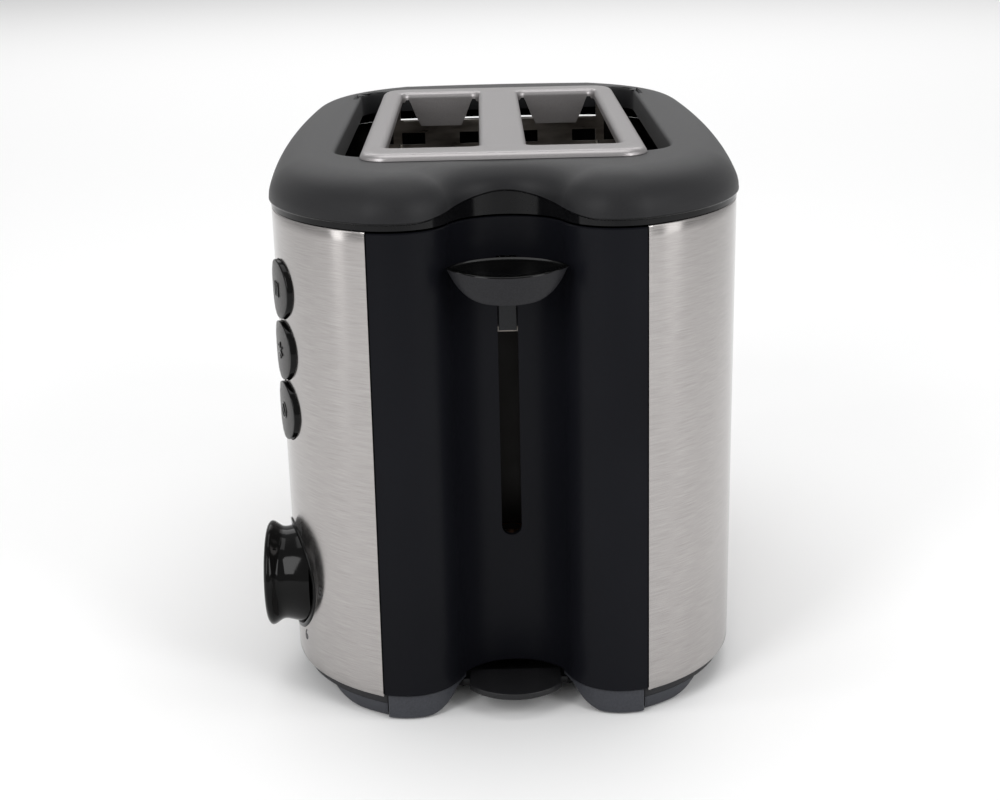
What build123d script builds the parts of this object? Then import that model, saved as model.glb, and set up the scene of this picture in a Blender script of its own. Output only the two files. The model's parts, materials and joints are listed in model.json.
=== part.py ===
from build123d import *
import os
from math import atan2, cos, degrees, hypot, radians, sin, sqrt

# Two-slot pop-up toaster, in millimetres. +Z is up, the lever end faces -Y and the
# buttons and browning dial are on -X. The origin is on the standing plane, under the
# middle of the body.
os.makedirs("parts", exist_ok=True)

# ---- Body outline, seen from above ----
HALF_LENGTH = 133.0         # middle of the body to the seams between steel and end panels
SEAM_X = 46.0               # half the width of an end panel
CORNER_R_HIGH = 67.0        # corner arcs at the top edge of the steel
CORNER_R_LOW = 63.2         # the body narrows slightly towards the base
CORNER_START = radians(27)  # direction of the outline where the steel begins
CORNER_END = radians(86)    # direction where the corner runs into the bowed side
REAR_BOW = 3.2              # how far the rear panel bulges past its seams

# ---- Lever channel in the front panel, seen from above ----
ROLL_X = 37.0               # centre of each rounded column beside the channel
ROLL_Y = -115.7
ROLL_R = 18.8
DISH_Y = -128.9             # centre of the hollow at the bottom of the channel
DISH_R = 20.5

# ---- Heights ----
FOOT_LOW = 0.5
FLOOR_LOW = 2.0
FLOOR_HIGH = 3.4
BAND_LOW = 5.2              # underside of the thin band below the steel
BASE_HIGH = 9.2
STEEL_LOW = 8.6
STEEL_HIGH = 174.2
PANEL_LOW = 9.3
PANEL_HIGH = 173.6
COLLAR_LOW = 174.4
COLLAR_HIGH = 191.0
CROWN_R = 13.8              # rounding of the collar's outer top edge
PLATE_LOW = 191.2
PLATE_HIGH = 193.5

# ---- Walls ----
STEEL_WALL = 0.8
PANEL_WALL = 2.4
COLLAR_WALL = 2.5
SHEET = 1.2

# ---- Slot plate and bread slots ----
PLATE_HALF_X = 50.0
PLATE_FRONT = -97.0
PLATE_REAR = 89.0
SLOT_IN = 8.4               # edges of a slot, from the middle of the body
SLOT_OUT = 41.5
SLOT_FRONT = -80.5
SLOT_REAR = 74.0
OPENING_HALF_X = 60.0       # opening in the collar around the plate
OPENING_FRONT = -84.0
OPENING_REAR = 102.0

# ---- Chassis ----
CHASSIS_FRONT = -89.0       # front face of the front chassis plate
CHASSIS_REAR = 81.0
CHASSIS_HALF_X = 55.0
CHASSIS_HIGH = 170.0
NECK_HALF_X = 46.4          # the plates are narrower where they rise under the slot plate
FRONT_NECK_HIGH = 187.0     # the front plate ends below the collar
LEDGE_Z = 180.6             # their top edge inside the bread slots

# ---- Lever and carriage ----
LEVER_TRAVEL = 72.0
NOSE_HALF = 3.1
LEVER_SLOT_HALF = 3.5
LEVER_SLOT_LOW = 58.5
LEVER_SLOT_HIGH = 158.6
ROD_X = 16.0
ROD_Y = -98.0
ROD_R = 2.0
CARRIAGE_LOW = 133.5
CARRIAGE_HIGH = 147.0
RACK_X = 25.0               # middle of each bread slot
RACK_LOW = 100.0
RACK_HIGH = 108.0
GUIDE_OUT_X = 42.6          # bread guides at rest
GUIDE_IN_X = 7.4

# ---- Controls on the -X side ----
BUTTON_Y = -96.0
BUTTON_R = 10.45
BUTTON_PITCH = 22.07
BUTTON_TOP_Z = 147.3
BUTTON_PROUD = 1.5
BUTTON_INNER_X = -71.9
BUTTON_NAMES = ["top", "middle", "lower"]
DIAL_Y = -90.9
DIAL_Z = 39.5
DIAL_FACE_X = -88.9
DIAL_RIM_R = 18.9
DIAL_WAIST_R = 17.0
DIAL_SKIRT_R = 18.2
BEZEL_R = 20.1
BOARD_X = -65.6
BOARD_THICK = 1.6

# ---- Crumb tray ----
TRAY_HALF_X = 19.0
TRAY_FRONT = -115.0
TRAY_REAR = 105.0
TRAY_LOW = 3.6
TRAY_HIGH = 6.4
TAB_LOW = 7.7
TAB_HIGH = 9.9
TAB_HALF_X = 16.2
TAB_R = 18.8
TAB_Y = -117.1

# ---- Base ----
SCREW_SPOTS = [(x, y) for x in (-40, 40) for y in (-60, 0, 60)]
PAD_X = 49.4
PAD_Y = 121.5
PAD_R = 3.2
PAD_SPOTS = [(x, y) for x in (-PAD_X, PAD_X) for y in (-PAD_Y, PAD_Y)]
SKIRT_HALF_X = 44.8
SKIRT_BACK = 12.5           # how far the end skirts reach in from the seams
SKIRT_IN = -1.4             # face of the skirts, inside the panels
FOOT_IN = -3.4              # lower edge of the feet, inside the body outline
WALL_IN = -9.0              # wall of the base pan below its band
FOOT_RISE_R = 11.0          # curve of a foot's lower edge up to the band
FOOT_RISE_Y = 124.0

# ---- Lead entry in the rear panel ----
GLAND_X = 28.0
GLAND_Z = 26.0
GLAND_R = 6.0
GLAND_BORE_R = 3.75

# ---- Heating cards ----
CARD_OUT_X = 49.5
CARD_IN_X = 3.6
CARD_THICK = 0.8
CARD_Y = (-84.0, 78.0)
CARD_Z = (26.0, 168.0)
RIBBON_ROWS = 12


def save(name, shape):
    """Write one piece to its own file."""
    shape.label = name
    export_step(shape, f"parts/{name}.step")


def block(x, y, z):
    """Box between two limits on each axis."""
    size = (x[1] - x[0], y[1] - y[0], z[1] - z[0])
    middle = ((x[0] + x[1]) / 2, (y[0] + y[1]) / 2, (z[0] + z[1]) / 2)
    return Pos(*middle) * Box(*size)


def rod_z(x, y, radius, low, high):
    """Upright cylinder."""
    return Pos(x, y, (low + high) / 2) * Cylinder(radius, high - low)


def rod_x(x0, x1, y, z, radius):
    """Cylinder along X."""
    return Pos((x0 + x1) / 2, y, z) * Rot(0, 90, 0) * Cylinder(radius, x1 - x0)


def rod_y(x, y0, y1, z, radius):
    """Cylinder along Y."""
    return Pos(x, (y0 + y1) / 2, z) * Rot(90, 0, 0) * Cylinder(radius, y1 - y0)


def both_sides(shape):
    """The shape and its mirror image across the middle of the body."""
    return shape + mirror(shape, Plane.YZ)


# ---------------------------------------------------------------- plan outlines
def seam_point(corner_r, grow):
    """Where the corner arc meets the line of the end seams, grown outwards."""
    centre_x = SEAM_X - corner_r * sin(CORNER_START)
    centre_y = -HALF_LENGTH + corner_r * cos(CORNER_START)
    y = -HALF_LENGTH - grow
    return centre_x + sqrt((corner_r + grow) ** 2 - (centre_y - y) ** 2), y


def right_side(corner_r, grow=0.0):
    """Front corner arc, bowed side and rear corner arc of the +X side."""
    centre_x = SEAM_X - corner_r * sin(CORNER_START)
    centre_y = -HALF_LENGTH + corner_r * cos(CORNER_START)
    r = corner_r + grow
    start = seam_point(corner_r, grow)
    start_angle = atan2(start[0] - centre_x, centre_y - start[1])
    middle_angle = (start_angle + CORNER_END) / 2
    middle = (centre_x + r * sin(middle_angle), centre_y - r * cos(middle_angle))
    join = (centre_x + r * sin(CORNER_END), centre_y - r * cos(CORNER_END))
    bow_r = (corner_r * cos(CORNER_END) - centre_y) / cos(CORNER_END)
    bow_x = centre_x + (corner_r - bow_r) * sin(CORNER_END)
    corner = ThreePointArc(start, middle, join)
    side = ThreePointArc(join, (bow_x + bow_r + grow, 0), (join[0], -join[1]))
    return [corner, side, mirror(corner, Plane.XZ)]


def mirrored_x(edges):
    """Edges mirrored across the middle of the body."""
    return [mirror(edge, Plane.YZ) for edge in edges]


def plain_face(corner_r, grow=0.0):
    """Whole outline with straight ends."""
    sides = right_side(corner_r, grow)
    x, y = seam_point(corner_r, grow)
    ends = [Line((-x, y), (x, y)), Line((-x, -y), (x, -y))]
    return make_face(sides + mirrored_x(sides) + ends)


def corner_radius(z):
    """Corner radius of the tapered body at one height."""
    share = (z - STEEL_LOW) / (STEEL_HIGH - STEEL_LOW)
    return CORNER_R_LOW + share * (CORNER_R_HIGH - CORNER_R_LOW)


def body_solid(low, high, grow_low, grow_high):
    """Tapered body between two heights, with straight ends."""
    bottom = plain_face(corner_radius(low), grow_low)
    top = plain_face(corner_radius(high), grow_high)
    return loft([Pos(0, 0, low) * bottom, Pos(0, 0, high) * top])


def channel_edges(grow, end):
    """Front profile from one end point to its mirror image, with the lever channel."""
    roll_r = ROLL_R + grow
    dish_r = DISH_R - grow
    span = hypot(ROLL_X, ROLL_Y - DISH_Y)
    ux, uy = ROLL_X / span, (ROLL_Y - DISH_Y) / span
    touch = (dish_r * ux, DISH_Y + dish_r * uy)
    crest = (ROLL_X, ROLL_Y - roll_r)
    half_way = (atan2(-uy, -ux) + radians(270) - radians(360)) / 2
    middle = (ROLL_X + roll_r * cos(half_way), ROLL_Y + roll_r * sin(half_way))
    outer = TangentArc(crest, end, tangent=(1, 0))
    roll = ThreePointArc(touch, middle, crest)
    left_touch = (-touch[0], touch[1])
    dish = ThreePointArc(left_touch, (0, DISH_Y + dish_r), touch)
    return [dish, outer, roll] + mirrored_x([outer, roll])


def behind_channel(grow, half_width, back_y):
    """Everything behind the front profile, back to one depth."""
    end = (half_width, -HALF_LENGTH - 0.4 - grow)
    edges = channel_edges(grow, end)
    edges += [Line(end, (half_width, back_y)), Line((-half_width, back_y), (half_width, back_y))]
    edges += [Line((-end[0], end[1]), (-half_width, back_y))]
    return make_face(edges)


def before_rear(grow, half_width, front_y):
    """Everything in front of the bowed rear profile, up to one depth."""
    end_y = HALF_LENGTH + 0.4 + grow
    bow = ThreePointArc((-half_width, end_y), (0, HALF_LENGTH + REAR_BOW + grow), (half_width, end_y))
    edges = [bow, Line((half_width, end_y), (half_width, front_y))]
    edges += [Line((half_width, front_y), (-half_width, front_y))]
    edges += [Line((-half_width, front_y), (-half_width, end_y))]
    return make_face(edges)


def collar_face(grow):
    """Outline of the top collar, which follows the channel and the bowed rear."""
    sides = right_side(CORNER_R_HIGH, grow)
    end = seam_point(CORNER_R_HIGH, grow)
    rear_end = (end[0], -end[1])
    bow = ThreePointArc((-rear_end[0], rear_end[1]), (0, HALF_LENGTH + REAR_BOW + grow), rear_end)
    return make_face(sides + mirrored_x(sides) + [bow] + channel_edges(grow, end))


def raise_face(face, low, high):
    """Prism on a plan face between two heights."""
    return extrude(Pos(0, 0, low) * face, high - low, dir=(0, 0, 1))


# ---------------------------------------------------------------- casing
def steel_wraps():
    """Two brushed steel shells round the sides, with holes for the controls."""
    shell = body_solid(STEEL_LOW, STEEL_HIGH, 0, 0)
    shell -= body_solid(STEEL_LOW - 1, STEEL_HIGH + 1, -STEEL_WALL, -STEEL_WALL)
    edge = SEAM_X + 0.2
    right = shell & block((edge, 100), (-150, 150), (0, 200))
    left = shell & block((-100, -edge), (-150, 150), (0, 200))
    for row in range(len(BUTTON_NAMES)):
        z = BUTTON_TOP_Z - row * BUTTON_PITCH
        left -= rod_x(-95, -60, BUTTON_Y, z, BUTTON_R + 0.35)
    left -= rod_x(-95, -60, DIAL_Y, DIAL_Z, BEZEL_R + 0.1)
    save("steel_wrap_right", right)
    save("steel_wrap_left", left)


def end_panels():
    """Front panel with the lever channel and its slot, and the bowed rear panel."""
    half = SEAM_X - 0.3
    low, high = PANEL_LOW, PANEL_HIGH
    strip = behind_channel(0, half, -100) - behind_channel(-PANEL_WALL, half, -100)
    front = raise_face(strip, low, high)
    slot_r = LEVER_SLOT_HALF
    front -= block((-slot_r, slot_r), (-120, -100), (LEVER_SLOT_LOW + slot_r, LEVER_SLOT_HIGH))
    front -= rod_y(0, -120, -100, LEVER_SLOT_LOW + slot_r, slot_r)
    front -= block((-17.5, 17.5), (-135, -100), (0, TAB_HIGH + 0.3))
    save("front_panel", front)

    strip = before_rear(0, half, 100) - before_rear(-PANEL_WALL, half, 100)
    rear = raise_face(strip, low, high)
    rear -= rod_y(GLAND_X, 120, 145, GLAND_Z, GLAND_R + 0.1)
    save("rear_panel", rear)


def cord_gland():
    """Bush through the rear panel that the mains lead enters by."""
    bush = rod_y(GLAND_X, 128, 139.0 - 1.4, GLAND_Z, GLAND_R)
    bush += rod_y(GLAND_X, 128, 129.4, GLAND_Z, GLAND_R + 2)
    bush -= rod_y(GLAND_X, 120, 145, GLAND_Z, GLAND_BORE_R)
    save("cord_gland", bush)


def top_collar():
    """Crowned moulding round the slot plate; hollow, with the channel cut into it."""
    outer = raise_face(collar_face(0.8), COLLAR_LOW, COLLAR_HIGH)
    outer = fillet(outer.faces().sort_by(Axis.Z)[-1].edges(), CROWN_R)
    inner_high = COLLAR_HIGH - COLLAR_WALL
    inner = raise_face(collar_face(0.8 - COLLAR_WALL), COLLAR_LOW - 1, inner_high)
    inner = fillet(inner.faces().sort_by(Axis.Z)[-1].edges(), CROWN_R - COLLAR_WALL)
    middle_y = (OPENING_FRONT + OPENING_REAR) / 2
    hole = RectangleRounded(2 * OPENING_HALF_X, OPENING_REAR - OPENING_FRONT, 16)
    hole = raise_face(Pos(0, middle_y) * hole, COLLAR_LOW - 2, COLLAR_HIGH + 2)
    save("top_collar", outer - inner - hole)


def slot_plate():
    """Pressed plate with the two bread slots, side skirts and slot flanges."""
    middle_y = (PLATE_FRONT + PLATE_REAR) / 2
    outline = RectangleRounded(2 * PLATE_HALF_X, PLATE_REAR - PLATE_FRONT, 10)
    plate = raise_face(Pos(0, middle_y) * outline, PLATE_LOW, PLATE_HIGH)
    plate = fillet(plate.faces().sort_by(Axis.Z)[-1].edges(), 1.9)
    slot_size = (SLOT_OUT - SLOT_IN, SLOT_REAR - SLOT_FRONT)
    slot_middle = ((SLOT_OUT + SLOT_IN) / 2, (SLOT_REAR + SLOT_FRONT) / 2)
    slot = raise_face(Pos(*slot_middle) * RectangleRounded(*slot_size, 3.5), 180, 200)
    plate -= both_sides(slot)
    along = (OPENING_FRONT + 4, PLATE_REAR - 6)
    flange_y = (SLOT_FRONT + 4, SLOT_REAR - 4)
    skirt = block((PLATE_HALF_X - 3.2, PLATE_HALF_X - 2), along, (179, PLATE_LOW))
    flange = block((SLOT_OUT, SLOT_OUT + 1), flange_y, (181, PLATE_LOW))
    flange += block((SLOT_IN - 1, SLOT_IN), flange_y, (181, PLATE_LOW))
    tongue = Polyline([(-14, PLATE_LOW), (14, PLATE_LOW), (9, 179), (-9, 179)], close=True)
    for wall_y in (SLOT_FRONT, SLOT_REAR + 1):
        flange += extrude(Pos(RACK_X, wall_y, 0) * (Plane.XZ * make_face(tongue)), 1)
    save("slot_plate", plate + both_sides(skirt + flange))


# ---------------------------------------------------------------- base
def base_pan():
    """Plastic floor and low wall under the steel, open for the tray at the lever end."""
    pan = body_solid(BAND_LOW, BASE_HIGH, -2.6, -1.2)
    pan += body_solid(FLOOR_LOW, BAND_LOW, WALL_IN, WALL_IN)
    pan -= body_solid(BAND_LOW + 1.2, BASE_HIGH + 1, -4.0, -4.0)
    pan -= body_solid(FLOOR_HIGH, BAND_LOW + 2, WALL_IN - 1.6, WALL_IN - 1.6)
    inner_end = HALF_LENGTH - SKIRT_BACK - 0.5
    for side in (-1, 1):
        y = sorted((side * 150, side * inner_end))
        pan -= block((-SKIRT_HALF_X - 0.2, SKIRT_HALF_X + 0.2), y, (0, 20))
    pan -= block((-24.5, 24.5), (-150, -111), (0, 20))
    for x, y in SCREW_SPOTS:
        pan += rod_z(x, y, 3.5, FLOOR_HIGH, BASE_HIGH)
        pan -= rod_z(x, y, 1.6, 0, 20)
    save("base_pan", pan)


def skirt_profile():
    """Front view of half an end skirt: a foot with an arch up towards the middle."""
    inner_x, foot_x = 17.6, 31.0
    arch_low = TAB_LOW - 0.1
    path = Polyline([(SKIRT_HALF_X, FOOT_LOW), (foot_x, FOOT_LOW)])
    path += Spline([(foot_x, FOOT_LOW), (27.6, 1.2), (23.6, 3.6), (inner_x, arch_low)],
                   tangents=[(-1, 0), (-1, 0.2)])
    path += Polyline([(inner_x, arch_low), (inner_x, 8.9), (SKIRT_HALF_X, 8.9),
                      (SKIRT_HALF_X, FOOT_LOW)])
    return make_face(path)


def end_skirts():
    """Low mouldings under the end panels, each with two half feet."""
    view = extrude(Pos(0, 200, 0) * (Plane.XZ * skirt_profile()), 400)
    view = both_sides(view)
    back = -HALF_LENGTH + SKIRT_BACK
    inner = SKIRT_IN - 3.2
    strip = behind_channel(SKIRT_IN, SKIRT_HALF_X, -90) - behind_channel(inner, SKIRT_HALF_X, -90)
    front = raise_face(strip, 0, 8.9)
    legs = raise_face(behind_channel(SKIRT_IN, SKIRT_HALF_X, back), 0, 8.9)
    legs -= block((-26.5, 26.5), (-150, 0), (-1, 20))
    save("front_skirt", (front + legs) & view)

    strip = before_rear(SKIRT_IN, SKIRT_HALF_X, 90) - before_rear(inner, SKIRT_HALF_X, 90)
    rear = raise_face(strip, 0, 8.9)
    legs = raise_face(before_rear(SKIRT_IN, SKIRT_HALF_X, -back), 0, 8.9)
    legs -= block((-26.5, 26.5), (0, 150), (-1, 20))
    middle = block((-17.8, 17.8), (100, 150), (TAB_LOW - 0.1, 8.9))
    save("rear_skirt", (rear + legs) & (view + middle))


def corner_feet():
    """Four curved feet under the corners, each with a pocket for its rubber pad."""
    high = BAND_LOW - 0.1
    ring = body_solid(FOOT_LOW, high, FOOT_IN, FOOT_IN + 0.8)
    ring -= body_solid(0, high + 1, WALL_IN - 9, WALL_IN - 9)
    ring -= body_solid(FLOOR_LOW - 0.1, high + 1, WALL_IN + 0.1, WALL_IN + 0.1)
    for x, y in PAD_SPOTS:
        side_x = -1 if x < 0 else 1
        side_y = -1 if y < 0 else 1
        xs = sorted((side_x * (SKIRT_HALF_X + 0.4), side_x * 90))
        rise_y = side_y * FOOT_RISE_Y
        ys = sorted((rise_y, side_y * 140))
        keep = block(xs, ys, (0, 8))
        reach = FOOT_LOW + FOOT_RISE_R
        keep += block(xs, sorted((side_y * 100, side_y * 140)), (0, 8)) \
            & rod_x(xs[0], xs[1], rise_y, reach, FOOT_RISE_R)
        foot = ring & keep
        foot -= rod_z(x, y, PAD_R + 0.1, 0, 1.6)
        name = ("front" if y < 0 else "rear") + ("_left" if x < 0 else "_right")
        save(f"corner_foot_{name}", foot)


def rubber_pads():
    """Pads that the toaster stands on."""
    pads = [rod_z(x, y, PAD_R, 0, 1.6) for x, y in PAD_SPOTS]
    save("rubber_pads", Compound(children=pads))


def base_screws():
    """Pan-head screws up through the base."""
    screws = []
    for x, y in SCREW_SPOTS:
        screw = rod_z(x, y, 3.0, 0.9, FLOOR_LOW) + rod_z(x, y, 1.5, FLOOR_LOW, BASE_HIGH)
        screws.append(screw - block((x - 2, x + 2), (y - 0.4, y + 0.4), (0.5, 1.5)))
    save("base_screws", Compound(children=screws))


def crumb_tray():
    """Shallow drawer under the slots, with a curved finger tab in the channel."""
    pan = block((-TRAY_HALF_X, TRAY_HALF_X), (TRAY_FRONT, TRAY_REAR), (TRAY_LOW, TRAY_HIGH))
    hollow_x = TRAY_HALF_X - 1
    hollow_y = (TRAY_FRONT + 1, TRAY_REAR - 1)
    pan -= block((-hollow_x, hollow_x), hollow_y, (TRAY_LOW + 0.8, TRAY_HIGH + 1))
    riser = block((-TAB_HALF_X, TAB_HALF_X), (TRAY_FRONT - 1.2, TRAY_FRONT), (TRAY_LOW, TAB_HIGH))
    tab = rod_z(0, TAB_Y, TAB_R, TAB_LOW, TAB_HIGH)
    tab &= block((-TAB_HALF_X, TAB_HALF_X), (-140, TRAY_FRONT), (0, 20))
    save("crumb_tray", pan + riser + tab)


# ---------------------------------------------------------------- chassis and heaters
def chassis_plates():
    """Two end plates that carry the heaters, the guides and the slot plate."""
    notch = block((-31.5, 31.5), (-150, 150), (0, TRAY_HIGH + 0.4))
    way_in = block((SLOT_IN - 0.4, SLOT_OUT + 1.4), (-150, 150), (LEDGE_Z, 200))
    windows = block((8.8, 17.2), (-150, 150), (169.9, 175.1))
    windows += block((32.4, 42.6), (-150, 150), (169.9, 175.1))
    legs = (FLOOR_HIGH, CHASSIS_HIGH)
    half = CHASSIS_HALF_X
    front_y = (CHASSIS_FRONT, CHASSIS_FRONT + SHEET)
    front = block((-half, half), front_y, legs)
    front += block((-NECK_HALF_X, NECK_HALF_X), front_y, (CHASSIS_HIGH, FRONT_NECK_HIGH))
    front += block((BOARD_X + BOARD_THICK, -half), front_y, (90, 120))
    rack_way = block((RACK_X - 3.5, RACK_X + 3.5), (-95, -80), (22, RACK_HIGH + 4))
    front = front - notch - both_sides(rack_way + way_in)
    save("chassis_plate_front", front)

    rear_y = (CHASSIS_REAR, CHASSIS_REAR + SHEET)
    rear = block((-half, half), rear_y, legs)
    rear += block((-NECK_HALF_X, NECK_HALF_X), rear_y, (CHASSIS_HIGH, PLATE_LOW))
    rear = rear - notch - both_sides(windows + way_in)
    ledge = block((SLOT_IN, SLOT_OUT), (CHASSIS_REAR - 2.4, CHASSIS_REAR), (LEDGE_Z - SHEET, LEDGE_Z))
    ledge -= block((RACK_X - 4.2, RACK_X + 4.2), (0, 150), (LEDGE_Z - 0.7, 200))
    save("chassis_plate_rear", rear + both_sides(ledge))


def heat_shields():
    """Sheet walls between the outer heaters and the steel."""
    inside = CHASSIS_HALF_X - 0.8
    along = (CHASSIS_FRONT + SHEET, CHASSIS_REAR)
    for side, name in ((-1, "left"), (1, "right")):
        x = sorted((side * inside, side * CHASSIS_HALF_X))
        save(f"heat_shield_{name}", block(x, along, (20, CHASSIS_HIGH)))


def crumb_chutes():
    """Sloping sheets that steer crumbs from under the slots into the tray."""
    low_x, high_x, low_z, high_z = 17.5, 53.5, 10.0, 20.0
    ring = [(low_x, low_z), (high_x, high_z), (high_x, high_z + 0.8), (low_x, low_z + 0.8)]
    section = make_face(Polyline(ring, close=True))
    length = CHASSIS_REAR - CHASSIS_FRONT - SHEET
    chute = extrude(Pos(0, CHASSIS_REAR, 0) * (Plane.XZ * section), length)
    save("crumb_chutes", Compound(children=[chute, mirror(chute, Plane.YZ)]))


def heating_cards():
    """Mica cards beside each slot, and the resistance ribbon on each."""
    spots = [("left_outer", -CARD_OUT_X, 1), ("left_inner", -CARD_IN_X, -1),
             ("right_inner", CARD_IN_X, 1), ("right_outer", CARD_OUT_X, -1)]
    for name, x, facing in spots:
        card = block((x - CARD_THICK / 2, x + CARD_THICK / 2), CARD_Y, CARD_Z)
        save(f"mica_card_{name}", card)
        face = x + facing * CARD_THICK / 2
        depth = sorted((face, face + facing * 0.3))
        rows = []
        for row in range(RIBBON_ROWS):
            z = CARD_Z[0] + 8 + row * (CARD_Z[1] - CARD_Z[0] - 16) / (RIBBON_ROWS - 1)
            rows.append(block(depth, (CARD_Y[0] + 4, CARD_Y[1] - 4), (z - 1.2, z + 1.2)))
        save(f"heating_ribbon_{name}", Compound(children=rows))


def bread_guides():
    """Four wire grids, one on each side of each slot."""
    wire_r = 0.9
    ys = [-76 + 18 * step for step in range(9)]
    spots = [("left_outer", -GUIDE_OUT_X, -1), ("left_inner", -GUIDE_IN_X, 1),
             ("right_inner", GUIDE_IN_X, -1), ("right_outer", GUIDE_OUT_X, 1)]
    for name, x, back in spots:
        grid = rod_z(x, ys[0], wire_r, 32, 172)
        for y in ys[1:]:
            grid += rod_z(x, y, wire_r, 32, 172)
        for z in (40, 100, 160):
            grid += rod_y(x + back * 0.9, ys[0] - 3, ys[-1] + 3, z, wire_r)
        save(f"bread_guide_{name}", grid)


# ---------------------------------------------------------------- lever mechanism
def lever_knob():
    """Lens-shaped thumb piece with a dished top and a hull-like front."""
    tip_x, tip_y = 20.4, -129.5
    back = ThreePointArc((-tip_x, tip_y), (0, -117.2), (tip_x, tip_y))
    front = ThreePointArc((-tip_x, tip_y), (0, -140.2), (tip_x, tip_y))
    knob = raise_face(make_face([back, front]), 145, 164.0)
    hull_r = 25.1
    knob &= rod_y(0, -160, -100, 149.7 + hull_r, hull_r)
    tilt = degrees(atan2(161.5 - 159.3, 23.0))
    knob -= Pos(0, -128.7, 160.4) * Rot(tilt, 0, 0) * Pos(0, 0, 20) * Box(60, 60, 40)
    knob -= block((-2.6, 2.6), (-127, -100), (151, 157))
    save("lever_knob", knob)


def lever_stem():
    """Tongue from the carriage through the panel slot into the knob."""
    stem = block((-2.6, 2.6), (-127, -108), (151, 157))
    stem += block((-NOSE_HALF, NOSE_HALF), (-108, -102.2), (CARRIAGE_LOW, 158))
    save("lever_stem", stem)


def lever_carriage():
    """Block that slides on the two guide rods."""
    carriage = block((-22, 22), (-102.2, -93.5), (CARRIAGE_LOW, CARRIAGE_HIGH))
    for side in (-1, 1):
        carriage -= rod_z(side * ROD_X, ROD_Y, ROD_R + 0.06, 100, 180)
    save("lever_carriage", carriage)

    bracket = block((-29, 29), (-93.5, -92.2), (CARRIAGE_LOW, CARRIAGE_HIGH))
    leg = block((20, 29), (-93.5, -92.2), (RACK_LOW - 1, CARRIAGE_LOW))
    save("carriage_bracket", bracket + both_sides(leg))

    keeper = block((-7, 7), (-101, -94), (CARRIAGE_LOW - 2.2, CARRIAGE_LOW))
    save("armature_plate", keeper)


def bread_racks():
    """Two toothed bars that lift the bread."""
    bar = block((RACK_X - 1.2, RACK_X + 1.2), (-92.2, 73), (RACK_LOW, RACK_HIGH - 1.5))
    for step in range(7):
        y = -72 + 23 * step
        bar += block((RACK_X - 9, RACK_X + 9), (y - 1.5, y + 1.5), (RACK_HIGH - 1.5, RACK_HIGH))
        bar += block((RACK_X - 1.2, RACK_X + 1.2), (y - 1.5, y + 1.5), (RACK_LOW, RACK_HIGH))
    save("bread_rack_right", bar)
    save("bread_rack_left", mirror(bar, Plane.YZ))


def mechanism_bracket():
    """Top and bottom shelves on the front chassis plate, and the two guide rods."""
    shelf_y = (-103.5, CHASSIS_FRONT)
    shelves = []
    for low, high in ((16.0, 17.5), (168.5, 170.0)):
        shelf = block((-20, 20), shelf_y, (low, high))
        for side in (-1, 1):
            shelf -= rod_z(side * ROD_X, ROD_Y, ROD_R, low - 1, high + 1)
        shelves.append(shelf)
    save("mechanism_shelves", Compound(children=shelves))
    rods = [rod_z(side * ROD_X, ROD_Y, ROD_R, 16.0, 170.0) for side in (-1, 1)]
    save("guide_rods", Compound(children=rods))


def return_spring():
    """Coil spring from the top shelf to the carriage."""
    low, high, coil_r, wire_r = CARRIAGE_HIGH + 0.4, 168.1, 3.2, 0.4
    path = Pos(0, ROD_Y, low + wire_r) * Helix(2.2, high - low - 2 * wire_r, coil_r)
    section = Plane(path @ 0, z_dir=path % 0) * Circle(wire_r)
    save("return_spring", sweep(section, path=path, is_frenet=True))


def electromagnet():
    """Coil and core that hold the carriage down while the bread browns."""
    spot = (0, -97.0)
    core = rod_z(*spot, 3.0, 37, 57.5) + block((-7, 7), (-104, CHASSIS_FRONT), (35, 37))
    save("magnet_core", core)
    bobbin = rod_z(*spot, 7.4, 37, 38.5) + rod_z(*spot, 7.4, 54.5, 56)
    bobbin += rod_z(*spot, 6.4, 38.5, 54.5)
    save("magnet_coil", bobbin - rod_z(*spot, 3.0, 30, 60))


# ---------------------------------------------------------------- electrical pieces
def control_parts():
    """Board behind the steel with the dial control, the button switches and its parts."""
    board_x = (BOARD_X, BOARD_X + BOARD_THICK)
    board = block(board_x, (-102.5, -77), (22, 162))
    board -= rod_x(-70, -60, DIAL_Y, DIAL_Z, 3.6)
    save("control_board", board)

    control = rod_x(BOARD_X + BOARD_THICK, -56.5, DIAL_Y, DIAL_Z, 7.5)
    control += rod_x(-76.5, BOARD_X + BOARD_THICK, DIAL_Y, DIAL_Z, 3.0)
    save("browning_control", control)

    switches = []
    for row in range(len(BUTTON_NAMES)):
        z = BUTTON_TOP_Z - row * BUTTON_PITCH
        y = (BUTTON_Y - 3, BUTTON_Y + 3)
        body = block((BOARD_X - 3.4, BOARD_X), y, (z - 3, z + 3))
        switches.append(body + rod_x(BOARD_X - 3.8, BOARD_X - 3.4, BUTTON_Y, z, 1.6))
    save("button_switches", Compound(children=switches))

    inner = BOARD_X + BOARD_THICK
    parts = [block((inner, inner + 7.5), (-87, -78.5), (130, 148)),
             rod_x(inner, inner + 7.0, -83, 70, 4.0),
             rod_x(inner, inner + 6.0, -83, 82, 3.0),
             block((inner, inner + 3.0), (-96, -88), (60, 68))]
    save("board_parts", Compound(children=parts))


def power_parts():
    """Main switch worked by the carriage, and the terminals behind the rear panel."""
    switch = block((-40, -31), (-103, CHASSIS_FRONT), (40, 62))
    switch += block((-38, -33), (-101, -97), (62, 64.5))
    save("main_switch", switch)
    terminals = block((-15, 15), (CHASSIS_REAR + SHEET, 96), (20, 34))
    for x in (-10, 0, 10):
        terminals -= rod_y(x, 92, 100, 27, 2.2)
    save("terminal_block", terminals)


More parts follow.
